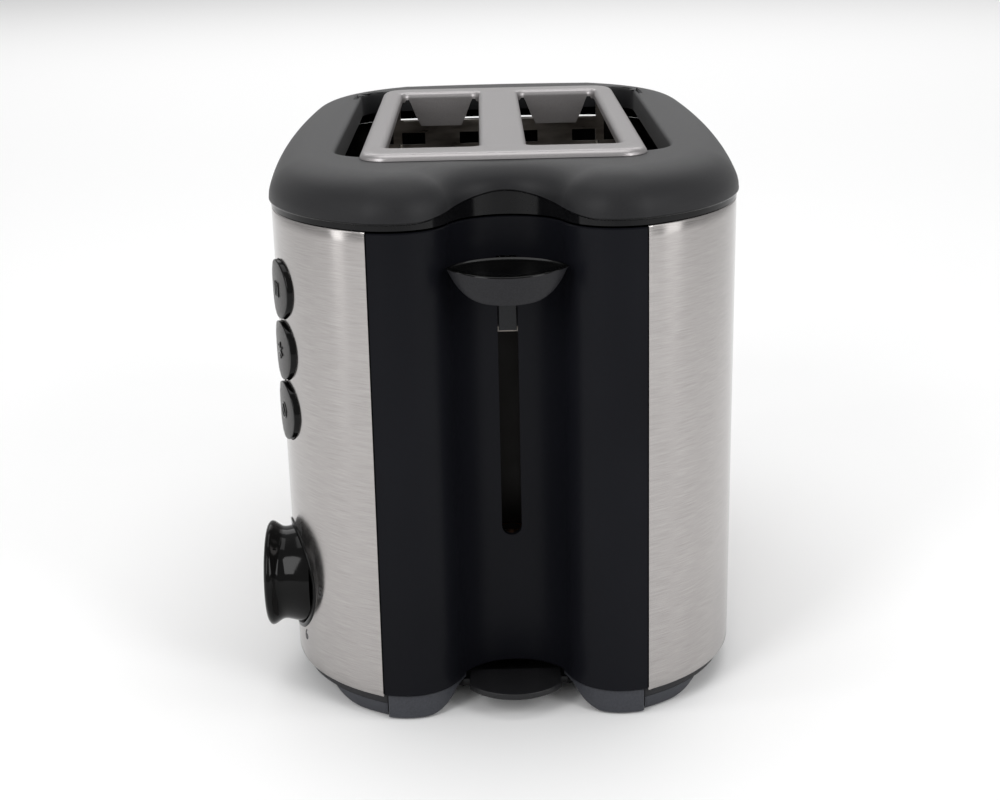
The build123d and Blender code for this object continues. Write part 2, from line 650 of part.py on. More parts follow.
# ---------------------------------------------------------------- dial and buttons
def browning_dial():
    """Spool-shaped dial on its shaft, and the fixed ring round its skirt."""
    inner_x = -73.0
    path = Polyline([(DIAL_FACE_X + 0.9, 0), (DIAL_FACE_X + 0.9, 15.5)])
    path += Spline([(DIAL_FACE_X + 0.9, 15.5), (DIAL_FACE_X, DIAL_RIM_R - 0.8),
                    (DIAL_FACE_X + 0.8, DIAL_RIM_R), (DIAL_FACE_X + 4.6, DIAL_WAIST_R + 0.2),
                    (DIAL_FACE_X + 8.5, DIAL_WAIST_R + 0.3), (inner_x, DIAL_SKIRT_R)])
    path += Polyline([(inner_x, DIAL_SKIRT_R), (inner_x, 0), (DIAL_FACE_X + 0.9, 0)])
    dial = Pos(0, DIAL_Y, DIAL_Z) * revolve(make_face(path), Axis.X)
    dial -= rod_x(-76.6, -60, DIAL_Y, DIAL_Z, 3.05)
    save("browning_knob", dial)

    ring = rod_x(-95, BOARD_X - 1.0, DIAL_Y, DIAL_Z, BEZEL_R)
    ring -= rod_x(-99, -60, DIAL_Y, DIAL_Z, DIAL_SKIRT_R + 0.5)
    ring &= body_solid(0, 180, 0.5, 0.5)
    save("dial_ring", ring)


def push_buttons():
    """Three round caps whose faces follow the curve of the steel."""
    skin = body_solid(60, 180, BUTTON_PROUD, BUTTON_PROUD)
    for row, name in enumerate(BUTTON_NAMES):
        z = BUTTON_TOP_Z - row * BUTTON_PITCH
        cap = rod_x(-95, BUTTON_INNER_X, BUTTON_Y, z, BUTTON_R) & skin
        save(f"button_{name}", cap)


steel_wraps()
end_panels()
cord_gland()
top_collar()
slot_plate()
base_pan()
end_skirts()
corner_feet()
rubber_pads()
base_screws()
crumb_tray()
chassis_plates()
heat_shields()
crumb_chutes()
heating_cards()
bread_guides()
lever_knob()
lever_stem()
lever_carriage()
bread_racks()
mechanism_bracket()
return_spring()
electromagnet()
control_parts()
power_parts()
browning_dial()
push_buttons()
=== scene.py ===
import json
from math import atan2, cos, hypot, pi, radians, sin, sqrt

import bmesh
import bpy
from mathutils import Matrix, Vector


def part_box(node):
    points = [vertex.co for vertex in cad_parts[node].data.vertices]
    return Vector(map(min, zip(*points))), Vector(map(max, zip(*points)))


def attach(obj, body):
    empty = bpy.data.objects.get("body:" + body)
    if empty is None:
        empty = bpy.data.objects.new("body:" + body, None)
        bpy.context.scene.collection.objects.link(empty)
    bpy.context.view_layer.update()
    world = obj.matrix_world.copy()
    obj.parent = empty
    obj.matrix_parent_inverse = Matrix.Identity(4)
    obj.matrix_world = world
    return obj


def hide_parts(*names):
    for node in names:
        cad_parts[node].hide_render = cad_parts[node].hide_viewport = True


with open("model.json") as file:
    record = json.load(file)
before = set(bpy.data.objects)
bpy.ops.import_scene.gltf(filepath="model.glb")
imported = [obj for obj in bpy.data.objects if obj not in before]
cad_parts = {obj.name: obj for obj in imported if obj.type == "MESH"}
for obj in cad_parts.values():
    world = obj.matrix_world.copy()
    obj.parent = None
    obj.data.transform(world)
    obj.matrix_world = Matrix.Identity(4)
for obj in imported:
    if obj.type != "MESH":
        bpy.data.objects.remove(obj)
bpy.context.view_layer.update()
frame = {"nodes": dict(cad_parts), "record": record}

MM = 0.001
SLOT_OF = {part["node"]: part["material_slot"] for part in frame["record"]["subparts"]}
BODY_OF = {node: body for body, nodes in frame["record"]["behaviour"]["bodies"].items()
           for node in nodes}

# ---- Plan outline of the body, in millimetres, as it was designed ----
HALF_LENGTH = 133.0
SEAM_X = 46.0
CORNER_R_HIGH = 67.0
CORNER_R_LOW = 63.2
CORNER_START = radians(27)
CORNER_END = radians(86)
REAR_BOW = 3.2
ROLL_X, ROLL_Y, ROLL_R = 37.0, -115.7, 18.8
DISH_Y, DISH_R = -128.9, 20.5
CHANNEL_LIP_HALF = 31.0      # half width of the raised lip over the channel
TAB_HALF = 17.5              # the panel is cut higher over the tray's finger tab
TAB_CUT_Z = 10.2
MERGE_GAP = 0.000005         # vertices nearer than this, in metres, are one

# ---- Heights, read from the frame ----
STEEL_LOW, STEEL_HIGH = (corner.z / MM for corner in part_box("steel_wrap_left"))
PANEL_LOW, PANEL_HIGH = (corner.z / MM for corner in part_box("front_panel"))
COLLAR_LOW, COLLAR_HIGH = (corner.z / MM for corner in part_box("top_collar"))
PLATE_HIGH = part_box("slot_plate")[1].z / MM


# ================================================================ materials
def new_finish(name, colour, rough, metal=0.0, coat=0.0, gleam=0.5):
    """A Principled material and its node tree."""
    finish = bpy.data.materials.new(name)
    finish.use_nodes = True
    shader = finish.node_tree.nodes["Principled BSDF"]
    shader.inputs["Base Color"].default_value = (*colour, 1.0)
    shader.inputs["Roughness"].default_value = rough
    shader.inputs["Metallic"].default_value = metal
    shader.inputs["Coat Weight"].default_value = coat
    shader.inputs["Coat Roughness"].default_value = 0.05
    shader.inputs["Specular IOR Level"].default_value = gleam
    return finish, shader


def noise(finish, per_metre, detail=4.0, roughness=0.55):
    """Noise on Object coordinates, with its own scale along each axis."""
    nodes, links = finish.node_tree.nodes, finish.node_tree.links
    place = nodes.new("ShaderNodeTexCoord")
    stretch = nodes.new("ShaderNodeMapping")
    stretch.inputs["Scale"].default_value = per_metre
    links.new(place.outputs["Object"], stretch.inputs["Vector"])
    texture = nodes.new("ShaderNodeTexNoise")
    texture.inputs["Scale"].default_value = 1.0
    texture.inputs["Detail"].default_value = detail
    texture.inputs["Roughness"].default_value = roughness
    links.new(stretch.outputs["Vector"], texture.inputs["Vector"])
    return texture.outputs["Fac"]


def vary(finish, shader, fac, low, high, socket):
    """Drive one shader number between two values."""
    spread = finish.node_tree.nodes.new("ShaderNodeMapRange")
    spread.inputs["From Min"].default_value = 0.3
    spread.inputs["From Max"].default_value = 0.7
    spread.inputs["To Min"].default_value = low
    spread.inputs["To Max"].default_value = high
    finish.node_tree.links.new(fac, spread.inputs["Value"])
    finish.node_tree.links.new(spread.outputs["Result"], shader.inputs[socket])


def tint(finish, shader, fac, low, high):
    """Drive the base colour between two colours."""
    blend = finish.node_tree.nodes.new("ShaderNodeValToRGB")
    blend.color_ramp.elements[0].position = 0.3
    blend.color_ramp.elements[0].color = (*low, 1.0)
    blend.color_ramp.elements[1].position = 0.7
    blend.color_ramp.elements[1].color = (*high, 1.0)
    finish.node_tree.links.new(fac, blend.inputs["Fac"])
    finish.node_tree.links.new(blend.outputs["Color"], shader.inputs["Base Color"])


def relief(finish, shader, fac, depth, strength=1.0):
    """Bump of one height, in metres."""
    bump = finish.node_tree.nodes.new("ShaderNodeBump")
    bump.inputs["Distance"].default_value = depth
    bump.inputs["Strength"].default_value = strength
    finish.node_tree.links.new(fac, bump.inputs["Height"])
    finish.node_tree.links.new(bump.outputs["Normal"], shader.inputs["Normal"])


def brushed_steel():
    """Stainless sheet with fine level brush lines."""
    finish, shader = new_finish("brushed_steel", (0.40, 0.385, 0.376), 0.3, metal=1.0)
    shader.inputs["Anisotropic"].default_value = 0.8
    shader.inputs["Anisotropic Rotation"].default_value = 0.25
    lines = noise(finish, (110, 110, 4200), detail=4.0, roughness=0.6)
    tint(finish, shader, lines, (0.335, 0.319, 0.311), (0.455, 0.434, 0.425))
    vary(finish, shader, lines, 0.15, 0.23, "Roughness")
    relief(finish, shader, lines, 0.000003)
    return finish


def satin_black():
    """Moulded end panel, black with a slightly blue satin surface."""
    finish, shader = new_finish("satin_black", (0.0075, 0.0078, 0.0105), 0.33, gleam=0.08)
    grain = noise(finish, (2600, 2600, 2600), detail=2.0)
    cloud = noise(finish, (18, 18, 12), detail=2.0)
    tint(finish, shader, cloud, (0.0045, 0.0047, 0.0064), (0.0062, 0.0065, 0.0088))
    vary(finish, shader, grain, 0.28, 0.40, "Roughness")
    relief(finish, shader, grain, 0.00002)
    return finish


def collar_black():
    """Crowned collar: fine matte texture that greys towards a grazing view."""
    finish, shader = new_finish("collar_black", (0.010, 0.010, 0.0115), 0.5, gleam=0.22)
    shader.inputs["Sheen Weight"].default_value = 0.07
    shader.inputs["Sheen Roughness"].default_value = 0.45
    grain = noise(finish, (3200, 3200, 3200), detail=3.0)
    tint(finish, shader, grain, (0.008, 0.008, 0.009), (0.013, 0.013, 0.0145))
    vary(finish, shader, grain, 0.44, 0.56, "Roughness")
    relief(finish, shader, grain, 0.00003)
    return finish


def matte_black():
    """Plain matte moulding."""
    finish, shader = new_finish("matte_black", (0.010, 0.010, 0.011), 0.6, gleam=0.3)
    grain = noise(finish, (1800, 1800, 1800), detail=2.0)
    tint(finish, shader, grain, (0.009, 0.009, 0.011), (0.016, 0.016, 0.018))
    vary(finish, shader, grain, 0.5, 0.7, "Roughness")
    relief(finish, shader, grain, 0.00004)
    return finish


def foot_grey():
    """Low mouldings and feet: matte, dark blue-grey."""
    finish, shader = new_finish("foot_grey", (0.024, 0.027, 0.032), 0.45, gleam=0.3)
    grain = noise(finish, (1500, 1500, 1500), detail=3.0)
    tint(finish, shader, grain, (0.030, 0.032, 0.038), (0.045, 0.047, 0.056))
    vary(finish, shader, grain, 0.42, 0.58, "Roughness")
    relief(finish, shader, grain, 0.00004)
    return finish


def gloss_black():
    """Polished moulding, with a faint haze of handling."""
    finish, shader = new_finish("gloss_black", (0.002, 0.002, 0.002), 0.09, gleam=0.16)
    haze = noise(finish, (60, 60, 60), detail=5.0)
    tint(finish, shader, haze, (0.0015, 0.0015, 0.0015), (0.0026, 0.0026, 0.0026))
    vary(finish, shader, haze, 0.06, 0.14, "Roughness")
    return finish


def button_black():
    """Satin face of the push buttons."""
    finish, shader = new_finish("button_black", (0.016, 0.014, 0.013), 0.32, gleam=0.16)
    grain = noise(finish, (2400, 2400, 2400), detail=2.0)
    tint(finish, shader, grain, (0.012, 0.0105, 0.010), (0.019, 0.017, 0.016))
    vary(finish, shader, grain, 0.26, 0.36, "Roughness")
    relief(finish, shader, grain, 0.00002)
    return finish


def tray_black():
    """Crumb tray and its finger tab."""
    finish, shader = new_finish("tray_black", (0.008, 0.008, 0.009), 0.42, gleam=0.35)
    grain = noise(finish, (1800, 1800, 1800), detail=2.0)
    tint(finish, shader, grain, (0.006, 0.006, 0.007), (0.010, 0.010, 0.011))
    vary(finish, shader, grain, 0.36, 0.5, "Roughness")
    relief(finish, shader, grain, 0.00003)
    return finish


def warm_grey_metal():
    """Slot plate: fine blasted metal, warm grey."""
    finish, shader = new_finish("warm_grey_metal", (0.32, 0.306, 0.308), 0.33, metal=0.85)
    grain = noise(finish, (3600, 3600, 3600), detail=3.0, roughness=0.7)
    tint(finish, shader, grain, (0.30, 0.287, 0.289), (0.395, 0.379, 0.381))
    vary(finish, shader, grain, 0.30, 0.42, "Roughness")
    relief(finish, shader, grain, 0.00003)
    return finish


def zinc_steel():
    """Bare plated sheet inside the body, darkened by heat and lightly streaked."""
    finish, shader = new_finish("zinc_steel", (0.2, 0.18, 0.165), 0.34, metal=1.0)
    streak = noise(finish, (70, 70, 260), detail=5.0)
    tint(finish, shader, streak, (0.14, 0.125, 0.115), (0.26, 0.24, 0.22))
    vary(finish, shader, streak, 0.26, 0.46, "Roughness")
    relief(finish, shader, streak, 0.00003)
    return finish


def bright_wire():
    """Plated wire and rod: guides, racks, slide rods and spring."""
    finish, shader = new_finish("bright_wire", (0.72, 0.72, 0.73), 0.2, metal=1.0)
    wear = noise(finish, (300, 300, 300), detail=3.0)
    tint(finish, shader, wear, (0.6, 0.6, 0.61), (0.8, 0.8, 0.81))
    vary(finish, shader, wear, 0.14, 0.3, "Roughness")
    return finish


def resistance_wire():
    """Ribbon that has been hot: dull brown-grey."""
    finish, shader = new_finish("resistance_wire", (0.24, 0.21, 0.19), 0.45, metal=0.9)
    wear = noise(finish, (200, 60, 600), detail=4.0)
    tint(finish, shader, wear, (0.15, 0.13, 0.12), (0.32, 0.29, 0.26))
    vary(finish, shader, wear, 0.38, 0.58, "Roughness")
    return finish


def mica():
    """Mottled mica sheet with flakes."""
    finish, shader = new_finish("mica", (0.42, 0.37, 0.28), 0.45)
    flake = noise(finish, (140, 140, 140), detail=6.0, roughness=0.7)
    tint(finish, shader, flake, (0.30, 0.26, 0.19), (0.52, 0.47, 0.37))
    vary(finish, shader, flake, 0.35, 0.6, "Roughness")
    relief(finish, shader, flake, 0.00006)
    return finish


def grey_plastic():
    """Lever stem, carriage and the dial's control."""
    finish, shader = new_finish("grey_plastic", (0.012, 0.0125, 0.014), 0.36, gleam=0.2)
    grain = noise(finish, (1400, 1400, 1400), detail=2.0)
    tint(finish, shader, grain, (0.009, 0.0095, 0.0105), (0.015, 0.016, 0.018))
    vary(finish, shader, grain, 0.3, 0.44, "Roughness")
    relief(finish, shader, grain, 0.00003)
    return finish


def ivory_plastic():
    """Terminal block and switch bodies."""
    finish, shader = new_finish("ivory_plastic", (0.56, 0.52, 0.44), 0.5)
    grain = noise(finish, (900, 900, 900), detail=3.0)
    tint(finish, shader, grain, (0.51, 0.47, 0.39), (0.61, 0.57, 0.49))
    vary(finish, shader, grain, 0.42, 0.58, "Roughness")
    return finish


def copper_winding():
    """Varnished copper turns round the magnet."""
    finish, shader = new_finish("copper_winding", (0.55, 0.25, 0.12), 0.3, metal=1.0)
    turns = noise(finish, (30, 30, 3000), detail=1.0)
    tint(finish, shader, turns, (0.40, 0.17, 0.08), (0.66, 0.33, 0.17))
    vary(finish, shader, turns, 0.22, 0.4, "Roughness")
    relief(finish, shader, turns, 0.00008)
    return finish


def board_green():
    """Lacquered circuit board."""
    finish, shader = new_finish("board_green", (0.03, 0.12, 0.05), 0.35)
    lacquer = noise(finish, (420, 420, 420), detail=3.0)
    tint(finish, shader, lacquer, (0.022, 0.09, 0.038), (0.04, 0.15, 0.065))
    vary(finish, shader, lacquer, 0.28, 0.46, "Roughness")
    return finish


def rubber():
    """Pads under the feet."""
    finish, shader = new_finish("rubber", (0.014, 0.014, 0.014), 0.8)
    grain = noise(finish, (900, 900, 900), detail=4.0)
    tint(finish, shader, grain, (0.010, 0.010, 0.010), (0.020, 0.020, 0.020))
    vary(finish, shader, grain, 0.7, 0.9, "Roughness")
    relief(finish, shader, grain, 0.00006)
    return finish


def dial_print():
    """Ink of the dial's numbers."""
    finish, shader = new_finish("dial_print", (0.02, 0.02, 0.02), 0.5)
    wear = noise(finish, (2500, 2500, 2500), detail=2.0)
    tint(finish, shader, wear, (0.014, 0.014, 0.014), (0.035, 0.035, 0.035))
    return finish


def knob_skirt():
    """Matte dark grey of the thumb piece's hull."""
    finish, shader = new_finish("knob_skirt", (0.022, 0.022, 0.025), 0.42, gleam=0.2)
    grain = noise(finish, (2200, 2200, 2200), detail=2.0)
    tint(finish, shader, grain, (0.011, 0.011, 0.0125), (0.018, 0.018, 0.0205))
    vary(finish, shader, grain, 0.36, 0.48, "Roughness")
    relief(finish, shader, grain, 0.00002)
    return finish


def lip_gloss():
    """Polished band under the collar's lip."""
    finish, shader = new_finish("lip_gloss", (0.004, 0.004, 0.0045), 0.2, gleam=0.16)
    haze = noise(finish, (120, 120, 120), detail=4.0)
    tint(finish, shader, haze, (0.003, 0.003, 0.0035), (0.0055, 0.0055, 0.006))
    vary(finish, shader, haze, 0.09, 0.18, "Roughness")
    return finish


def burnt_sheet():
    """Sheet behind the lever slot, painted near-black as the shade inside the body, with a faint
    random mottle.
    """
    # Painted shade: this near-black base colour stands in for the shade behind the lever slot.
    finish, shader = new_finish("burnt_sheet", (0.012, 0.011, 0.010), 0.55, metal=0.6)
    shade_mottle = noise(finish, (90, 90, 60), detail=5.0)
    tint(finish, shader, shade_mottle, (0.007, 0.006, 0.006), (0.020, 0.018, 0.016))
    vary(finish, shader, shade_mottle, 0.45, 0.65, "Roughness")
    return finish


FINISH = {
    "brushed_steel": brushed_steel(), "satin_black": satin_black(),
    "collar_black": collar_black(), "matte_black": matte_black(), "foot_grey": foot_grey(),
    "gloss_black": gloss_black(), "button_black": button_black(), "tray_black": tray_black(),
    "warm_grey_metal": warm_grey_metal(), "zinc_steel": zinc_steel(),
    "bright_wire": bright_wire(), "resistance_wire": resistance_wire(), "mica": mica(),
    "grey_plastic": grey_plastic(), "ivory_plastic": ivory_plastic(),
    "copper_winding": copper_winding(), "board_green": board_green(), "rubber": rubber(),
}
PRINT = dial_print()
SKIRT = knob_skirt()


# ================================================================ piece helpers
def only(piece):
    """Select one object and make it active."""
    bpy.ops.object.select_all(action="DESELECT")
    piece.select_set(True)
    bpy.context.view_layer.objects.active = piece


def place_row(mesh, ring, row):
    """Put one row of vertices where it belongs, in millimetres."""
    for index, point in zip(ring, row):
        mesh.vertices[index].co = Vector(point) * MM


def pick(piece, wanted):
    """Select only these vertices, ready for edit mode."""
    mesh = piece.data
    for part in (mesh.polygons, mesh.edges):
        part.foreach_set("select", [False] * len(part))
    mesh.vertices.foreach_set("select", [index in wanted for index in range(len(mesh.vertices))])
    mesh.update()


def edit(piece, *steps):
    """Run edit-mode operators on what is selected."""
    only(piece)
    bpy.ops.object.mode_set(mode="EDIT")
    bpy.ops.mesh.select_mode(type="VERT")
    for operator, settings in steps:
        getattr(bpy.ops.mesh, operator)(**settings)
    bpy.ops.object.mode_set(mode="OBJECT")


def tidy_normals(piece):
    """Merge doubles and point every face outwards."""
    edit(piece, ("select_all", {"action": "SELECT"}), ("remove_doubles", {"threshold": MERGE_GAP}),
         ("normals_make_consistent", {"inside": False}))


def smooth(piece, angle=35):
    """Smooth shading, broken at edges sharper than the angle."""
    only(piece)
    bpy.ops.object.shade_smooth_by_angle(angle=radians(angle))


def apply(piece, kind, **settings):
    """Add one modifier, set it and apply it."""
    only(piece)
    modifier = piece.modifiers.new(kind.lower(), kind)
    for key, value in settings.items():
        setattr(modifier, key, value)
    bpy.ops.object.modifier_apply(modifier=modifier.name)


def stand_for(piece, node, finish=None):
    """The piece rides on the node's body, takes its slot and is shown in its place."""
    add_to(piece, node, finish)
    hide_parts(node)
    return piece


def add_to(piece, node, finish=None):
    """An extra piece that rides with a node and shares its slot."""
    if not piece.data.materials:
        piece.data.materials.append(finish or FINISH[SLOT_OF[node]])
    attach(piece, BODY_OF[node])
    return piece


def softened(node, bevel=0.4, angle=35, segments=3):
    """Merged copy of a designed piece with small rounded edges, shown in its place."""
    mesh = frame["nodes"][node].data.copy()
    piece = bpy.data.objects.new(node + "_moulded", mesh)
    bpy.context.scene.collection.objects.link(piece)
    mesh.materials.clear()
    edit(piece, ("select_all", {"action": "SELECT"}), ("remove_doubles", {"threshold": MERGE_GAP}),
         ("dissolve_limited", {"angle_limit": radians(0.4)}))
    bpy.ops.mesh.customdata_custom_splitnormals_clear()
    if bevel:
        apply(piece, "BEVEL", width=bevel * MM, segments=segments, limit_method="ANGLE",
              angle_limit=radians(angle), use_clamp_overlap=True)
    smooth(piece, angle)
    return stand_for(piece, node)


def loft_rows(name, rows, closed=True, cap_first=False, cap_last=False):
    """A ring of edges put on the first row, then extruded from row to row."""
    count = len(rows[0])
    bpy.ops.object.select_all(action="DESELECT")
    bpy.ops.mesh.primitive_circle_add(vertices=count, radius=0.1, location=(0, 0, 0))
    piece = bpy.context.object
    piece.name = piece.data.name = name
    ring = list(range(count))
    place_row(piece.data, ring, rows[0])
    if not closed:
        bpy.ops.object.mode_set(mode="EDIT")
        grid = bmesh.from_edit_mesh(piece.data)
        grid.verts.ensure_lookup_table()
        gap = [e for e in grid.edges if {v.index for v in e.verts} == {0, count - 1}]
        bpy.ops.mesh.select_all(action="DESELECT")
        bpy.ops.mesh.select_mode(type="EDGE")
        gap[0].select_set(True)
        bpy.ops.mesh.delete(type="EDGE")
        bpy.ops.mesh.select_mode(type="VERT")
        bpy.ops.object.mode_set(mode="OBJECT")
    rings = [ring]
    for row in rows[1:]:
        pick(piece, set(ring))
        edit(piece, ("extrude_region_move", {}))
        first_new = len(piece.data.vertices) - count
        above = {}
        for edge in piece.data.edges:
            low, high = sorted(edge.vertices)
            if low < first_new <= high:
                above[low] = high
        ring = [above[index] for index in ring]
        place_row(piece.data, ring, row)
        rings.append(ring)
    for wanted, ends in ((cap_first, rings[0]), (cap_last, rings[-1])):
        if wanted:
            pick(piece, set(ends))
            edit(piece, ("edge_face_add", {}))
    piece.data.update()
    return piece


# ================================================================ plan outline
def arc(centre, radius, start, stop, steps):
    """Points on an arc with the direction out of its centre at each."""
    found = []
    for step in range(steps + 1):
        a = start + (stop - start) * step / steps
        found.append((centre[0] + radius * cos(a), centre[1] + radius * sin(a), cos(a), sin(a)))
    return found


def half_outline(corner_r):
    """Right half of the plan, front to rear: x, y and the outward direction."""
    touch = atan2(ROLL_Y - DISH_Y, ROLL_X)
    dish = [(x, y, -u, -v) for x, y, u, v in arc((0, DISH_Y), DISH_R, pi / 2, touch, 16)]
    roll = arc((ROLL_X, ROLL_Y), ROLL_R, touch + pi, 1.5 * pi, 20)
    crest_y = ROLL_Y - ROLL_R
    rise = -HALF_LENGTH - crest_y
    wide = SEAM_X - ROLL_X
    shoulder_r = (wide ** 2 + rise ** 2) / (2 * rise)
    turn = atan2(wide, shoulder_r - rise)
    shoulder = arc((ROLL_X, crest_y + shoulder_r), shoulder_r, 1.5 * pi, 1.5 * pi + turn, 5)
    centre = (SEAM_X - corner_r * sin(CORNER_START), -HALF_LENGTH + corner_r * cos(CORNER_START))
    front = arc(centre, corner_r, CORNER_START - pi / 2, CORNER_END - pi / 2, 30)
    bow_r = (corner_r * cos(CORNER_END) - centre[1]) / cos(CORNER_END)
    bow_x = centre[0] + (corner_r - bow_r) * sin(CORNER_END)
    lean = pi / 2 - CORNER_END
    side = arc((bow_x, 0), bow_r, -lean, lean, 30)
    back = arc((centre[0], -centre[1]), corner_r, pi / 2 - CORNER_END, pi / 2 - CORNER_START, 30)
    end_r = (SEAM_X ** 2 + REAR_BOW ** 2) / (2 * REAR_BOW)
    half_turn = atan2(SEAM_X, end_r - REAR_BOW)
    end = arc((0, HALF_LENGTH + REAR_BOW - end_r), end_r, pi / 2 - half_turn, pi / 2, 16)
    return dish + roll[1:] + shoulder[1:] + front + side[1:] + back[1:] + end


def full_outline(corner_r):
    """Closed plan ring, from the middle of the channel round to it again."""
    half = half_outline(corner_r)
    other = [(-x, y, -u, v) for x, y, u, v in half[1:-1]]
    return half + other[::-1]


# ================================================================ casing
# The steel's upright edges turn in: how far past the seam, and how deep, in millimetres.
EDGE_TURN = [(0.05, 0.9), (0.12, 0.25), (0.4, 0.03)]
EDGE_CLEAR = 1.6             # outline points nearer the seam than this give way to the turn
STEEL_EDGE = 0.7
STEEL_WALL = 0.5
STEEL_ROWS = 44


def steel_wrap(side, name):
    """One brushed shell: tapered rows, edges rolled inwards."""
    low, high = ([p for p in half_outline(corner_r)
                  if p[0] >= SEAM_X and abs(p[1]) <= HALF_LENGTH + 0.01]
                 for corner_r in (CORNER_R_LOW, CORNER_R_HIGH))
    clear = [min(a[0], b[0]) > SEAM_X + EDGE_CLEAR for a, b in zip(low, high)]
    rows = []
    edge = STEEL_EDGE
    levels = [(STEEL_LOW, -edge), (STEEL_LOW + 0.25, -0.2), (STEEL_LOW + edge, 0)]
    for step in range(1, STEEL_ROWS):
        rise = step * (STEEL_HIGH - STEEL_LOW - 2 * edge) / STEEL_ROWS
        levels.append((STEEL_LOW + edge + rise, 0))
    levels += [(STEEL_HIGH - edge, 0), (STEEL_HIGH - 0.25, -0.2), (STEEL_HIGH, -edge)]
    for z, roll in levels:
        share = (z - STEEL_LOW) / (STEEL_HIGH - STEEL_LOW)
        row = []
        for a, b in zip(low, high):
            u, v = a[2], a[3]
            x = a[0] + (b[0] - a[0]) * share + u * roll
            y = a[1] + (b[1] - a[1]) * share + v * roll
            row.append((side * x, y, z))
        first, last = row[0], row[-1]
        turned = [(side * (SEAM_X + across), first[1] + deep, z) for across, deep in EDGE_TURN]
        turned_back = [(side * (SEAM_X + across), last[1] - deep, z)
                       for across, deep in EDGE_TURN[::-1]]
        rows.append(turned + [point for point, keep in zip(row, clear) if keep] + turned_back)
    shell = loft_rows(name + "_brushed", rows, closed=False)
    tidy_normals(shell)
    flip_if_inside(shell, Vector((side, 0, 0)))
    apply(shell, "SOLIDIFY", thickness=STEEL_WALL * MM, offset=-1.0)
    return shell


def flip_if_inside(piece, outwards):
    """Turn an open sheet's faces over if most of them look inwards."""
    total = sum(face.normal.dot(outwards) * face.area for face in piece.data.polygons)
    if total < 0:
        edit(piece, ("select_all", {"action": "SELECT"}), ("flip_normals", {}))


def drill(piece, cutters):
    """Cut holes with cutter objects, then remove them."""
    for cutter in cutters:
        apply(piece, "BOOLEAN", operation="DIFFERENCE", solver="EXACT", object=cutter)
        bpy.data.objects.remove(cutter)


def peg_x(radius, y, z, x0=-100, x1=-60):
    """Round cutter along X, in millimetres."""
    bpy.ops.object.select_all(action="DESELECT")
    bpy.ops.mesh.primitive_cylinder_add(vertices=72, radius=radius * MM, depth=(x1 - x0) * MM,
                                        location=((x0 + x1) / 2 * MM, y * MM, z * MM),
                                        rotation=(0, pi / 2, 0))
    peg = bpy.context.object
    bpy.ops.object.transform_apply(location=True, rotation=True, scale=True)
    return peg


def centre_of(node):
    """Middle of a node's box, in millimetres."""
    low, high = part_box(node)
    return (low + high) / 2 / MM


BUTTONS = ["button_top", "button_middle", "button_lower"]
BUTTON_R = (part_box("button_top")[1].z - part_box("button_top")[0].z) / 2 / MM
RING_R = (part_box("dial_ring")[1].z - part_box("dial_ring")[0].z) / 2 / MM
DIAL = centre_of("browning_knob")


def make_steel():
    """Both shells; the left one is drilled for the buttons and the dial."""
    right = steel_wrap(1, "steel_wrap_right")
    smooth(right, 40)
    stand_for(right, "steel_wrap_right")
    left = steel_wrap(-1, "steel_wrap_left")
    pegs = [peg_x(BUTTON_R + 0.3, centre_of(b).y, centre_of(b).z) for b in BUTTONS]
    pegs.append(peg_x(RING_R + 0.1, DIAL.y, DIAL.z))
    drill(left, pegs)
    left.name = left.data.name = "steel_wrap_left_brushed"
    smooth(left, 40)
    stand_for(left, "steel_wrap_left")


PANEL_WALL = 2.3
PANEL_TRIM = 0.5
PANEL_ROWS = 12
LEVER_SLOT = (58.5, 160.0, 3.5)    # lowest, highest and half width


def make_front_panel():
    """Panel that rolls into the lever channel, with the rounded lever slot."""
    half = [p for p in half_outline(CORNER_R_HIGH) if p[1] < 0 and p[0] <= SEAM_X - 0.3]
    half = [p for p in half if not (p[0] > ROLL_X + 1 and p[1] > -HALF_LENGTH + 5)]
    half.append((SEAM_X - 0.12,) + tuple(half[-1][1:]))
    span = [(-x, y, -u, v) for x, y, u, v in half[:0:-1]] + half
    trim = PANEL_TRIM
    rows = []
    for z, pull, slant in [(PANEL_LOW, -trim, 0), (PANEL_LOW + trim, 0, 1)]:
        over_tab = max(z, TAB_CUT_Z + trim * slant)
        rows.append([(x + u * pull, y + v * pull, over_tab if abs(x) < TAB_HALF else z)
                     for x, y, u, v in span])
    for step in range(1, PANEL_ROWS):
        z = PANEL_LOW + trim + step * (PANEL_HIGH - PANEL_LOW - 2 * trim) / PANEL_ROWS
        rows.append([(x, y, z) for x, y, u, v in span])
    for z, pull in [(PANEL_HIGH - trim, 0), (PANEL_HIGH, -trim)]:
        rows.append([(x + u * pull, y + v * pull, z) for x, y, u, v in span])
    panel = loft_rows("front_panel_moulded", rows, closed=False)
    tidy_normals(panel)
    flip_if_inside(panel, Vector((0, -1, 0)))
    apply(panel, "SOLIDIFY", thickness=PANEL_WALL * MM, offset=-1.0)
    slot_low, slot_high, slot_r = LEVER_SLOT
    outline = arc((0, slot_low + slot_r), slot_r, pi, 2 * pi, 16)
    ring = [(x, z) for x, z, u, v in outline] + [(slot_r, slot_high), (-slot_r, slot_high)]
    rows = [[(x, y, z) for x, z in ring] for y in (-125, -95)]
    cutter = loft_rows("slot_cutter", rows, cap_first=True, cap_last=True)
    tidy_normals(cutter)
    drill(panel, [cutter])
    smooth(panel, 32)
    stand_for(panel, "front_panel")


def lip_rise(x, y):
    """How much of the channel's raised lip a point has, 0 outside it and 1 in its middle."""
    if y > -80 or abs(x) > CHANNEL_LIP_HALF:
        return 0.0
    share = 1 - abs(x) / CHANNEL_LIP_HALF
    return share * share * (3 - 2 * share)


